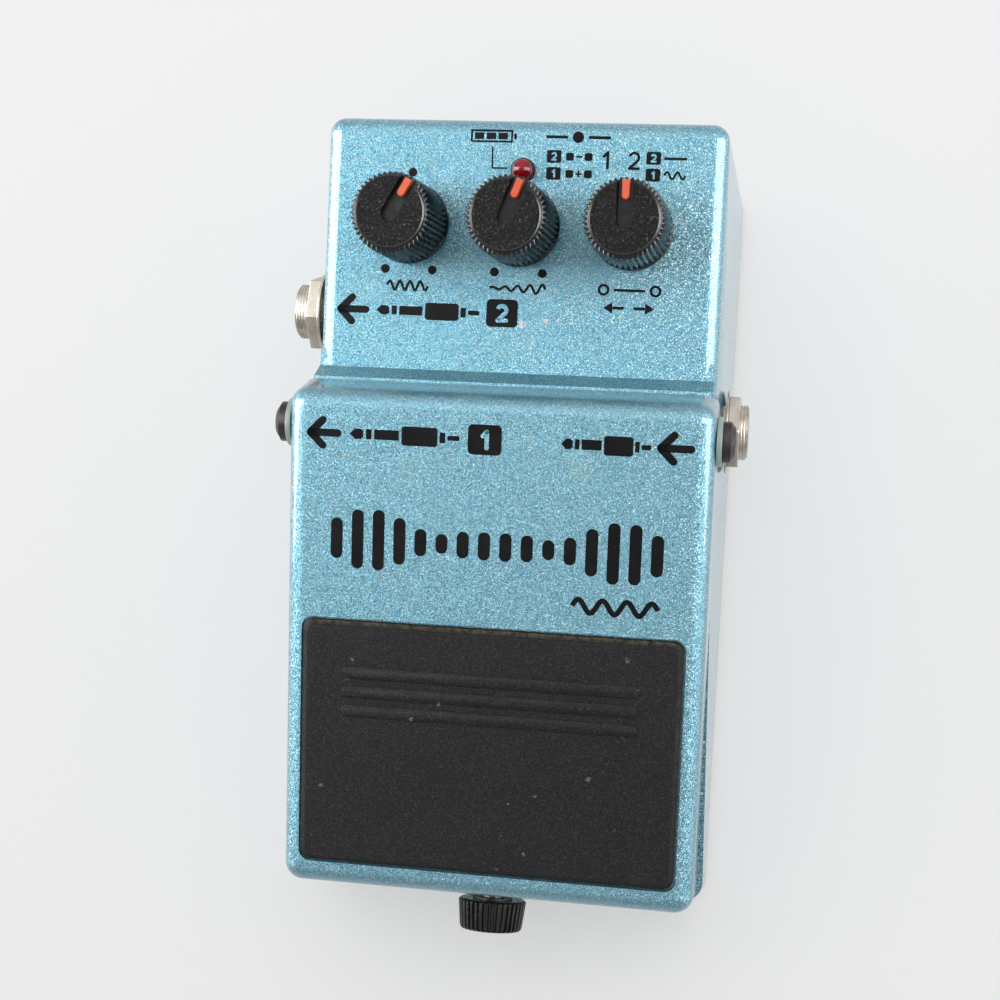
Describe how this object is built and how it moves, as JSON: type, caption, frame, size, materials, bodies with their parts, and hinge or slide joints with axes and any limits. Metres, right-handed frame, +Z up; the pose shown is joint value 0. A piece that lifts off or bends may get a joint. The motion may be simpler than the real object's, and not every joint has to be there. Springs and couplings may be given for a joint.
{
  "type": "guitar effects pedal",
  "caption": "Compact floor effects pedal: painted die-cast case with a recessed panel of ribbed knobs and a lamp, and a hinged foot plate with a rubber pad.",
  "frame": {"origin": "centre of the rubber sole's underside", "axes": "+X to the player's right (input side), +Y to the rear (control panel), +Z up"},
  "size_m": [0.0794, 0.1364, 0.0565],
  "materials": {
    "blue_paint": "light metallic blue enamel with fine flake",
    "rubber": "matte black",
    "plate_steel": "zinc plated",
    "dark_screw": "black nickel, slightly worn",
    "nickel": "aged nickel",
    "bush_plastic": "pale, smooth",
    "black_plastic": "moulded, fine grain",
    "knob_plastic": "moulded, satin with a coarse grained top",
    "pointer_orange": "bright orange",
    "lamp_red": "translucent red, glossy",
    "aluminium": "turned",
    "blue_plastic": "moulded",
    "board_laminate": "phenolic board with lacquer",
    "chip_plastic": "moulded epoxy",
    "capacitor_sleeve": "shrunk sleeve",
    "wire_insulation": "soft",
    "ribbon": "flat, flexible",
    "fibre_sheet": "pressed fibre",
    "battery_skin": "printed steel can",
    "foam": "open cell foam",
    "spring_steel": "bright wire",
    "brass_pin": "plated pin"
  },
  "bodies": {
    "case_body": {"case": "blue_paint", "base_plate": "plate_steel", "rubber_sole": "rubber", "base_screws": "plate_steel", "hinge_screws": "dark_screw", "guide_bush": "black_plastic", "input_jack": "nickel", "output_a_jack": "nickel", "output_b_jack": "nickel", "jack_washers": "nickel", "jack_nuts": "nickel", "power_jack": "black_plastic", "power_pin": "brass_pin", "power_jack_nut": "black_plastic", "led_lens": "lamp_red", "led_legs": "plate_steel", "led_sleeve": "black_plastic", "rate_pot": "aluminium", "depth_pot": "aluminium", "mode_switch": "blue_plastic", "control_washers": "plate_steel", "control_nuts": "plate_steel", "main_board": "board_laminate", "main_chips": "chip_plastic", "main_capacitors": "capacitor_sleeve", "panel_board": "board_laminate", "connecting_wires": "wire_insulation", "ribbon_cable": "ribbon", "board_screws": "plate_steel", "insulating_sheet": "fibre_sheet", "battery": "battery_skin", "battery_clip": "black_plastic", "battery_leads": "wire_insulation", "battery_foam": "foam", "lead_grommet": "rubber", "footswitch_bracket": "plate_steel", "footswitch_body": "black_plastic", "footswitch_nut": "plate_steel", "bracket_screws": "plate_steel", "spring_seat": "black_plastic", "treadle_spring": "spring_steel"},
    "hinge_bush_body": {"hinge_bushes": "bush_plastic"},
    "treadle_body": {"treadle": "blue_paint", "treadle_pad": "rubber", "treadle_pusher": "rubber"},
    "plunger_body": {"footswitch_plunger": "black_plastic"},
    "thumbscrew_washer_body": {"thumbscrew_washer": "black_plastic"},
    "thumbscrew_body": {"thumbscrew_head": "knob_plastic", "thumbscrew_shank": "dark_screw"},
    "rate_control": {"rate_shaft": "aluminium", "rate_knob": "knob_plastic", "rate_pointer": "pointer_orange"},
    "depth_control": {"depth_shaft": "aluminium", "depth_knob": "knob_plastic", "depth_pointer": "pointer_orange"},
    "mode_control": {"mode_shaft": "aluminium", "mode_knob": "knob_plastic", "mode_pointer": "pointer_orange"}
  },
  "joints": [
    {"name": "treadle_open", "type": "hinge", "parent": "case_body", "child": "hinge_bush_body", "pos_m": [0, 0.0113, 0.0423], "axis": [-1, 0, 0], "range_deg": [0, 60]},
    {"name": "treadle_press", "type": "hinge", "parent": "hinge_bush_body", "child": "treadle_body", "pos_m": [0, 0.0113, 0.0423], "axis": [1, 0, 0], "range_deg": [0, 2], "stiffness_Nm_per_rad": 4, "springref_deg": -3.44, "deforming": ["treadle_spring"]},
    {"name": "footswitch_press", "type": "slide", "parent": "case_body", "child": "plunger_body", "axis": [0, 0, -1], "range_m": [0, 0.0011], "stiffness_N_per_m": 0.05, "springref_m": -0.0197},
    {"name": "thumbscrew_advance", "type": "slide", "parent": "treadle_body", "child": "thumbscrew_washer_body", "axis": [0, 1, 0], "range_m": [0, 0.00122]},
    {"name": "thumbscrew_turn", "type": "hinge", "parent": "thumbscrew_washer_body", "child": "thumbscrew_body", "pos_m": [0, -0.066, 0.016], "axis": [0, 1, 0], "range_deg": [0, 630]},
    {"name": "rate_turn", "type": "hinge", "parent": "case_body", "child": "rate_control", "pos_m": [-0.0187, 0.0464, 0.03936], "axis": [0, -0.1708, 0.9853], "range_deg": [-123, 181]},
    {"name": "depth_turn", "type": "hinge", "parent": "case_body", "child": "depth_control", "pos_m": [0, 0.0464, 0.03936], "axis": [0, -0.1708, 0.9853], "range_deg": [-132, 172]},
    {"name": "mode_turn", "type": "hinge", "parent": "case_body", "child": "mode_control", "pos_m": [0.0187, 0.0464, 0.03936], "axis": [0, -0.1708, 0.9853], "range_deg": [0, 30]}
  ],
  "couplings": [
    {"joint": "thumbscrew_turn", "follows": "thumbscrew_advance", "rad_per_m": 8976},
    {"joint": "footswitch_press", "follows": "treadle_press", "m_per_rad": 0.0313}
  ]
}
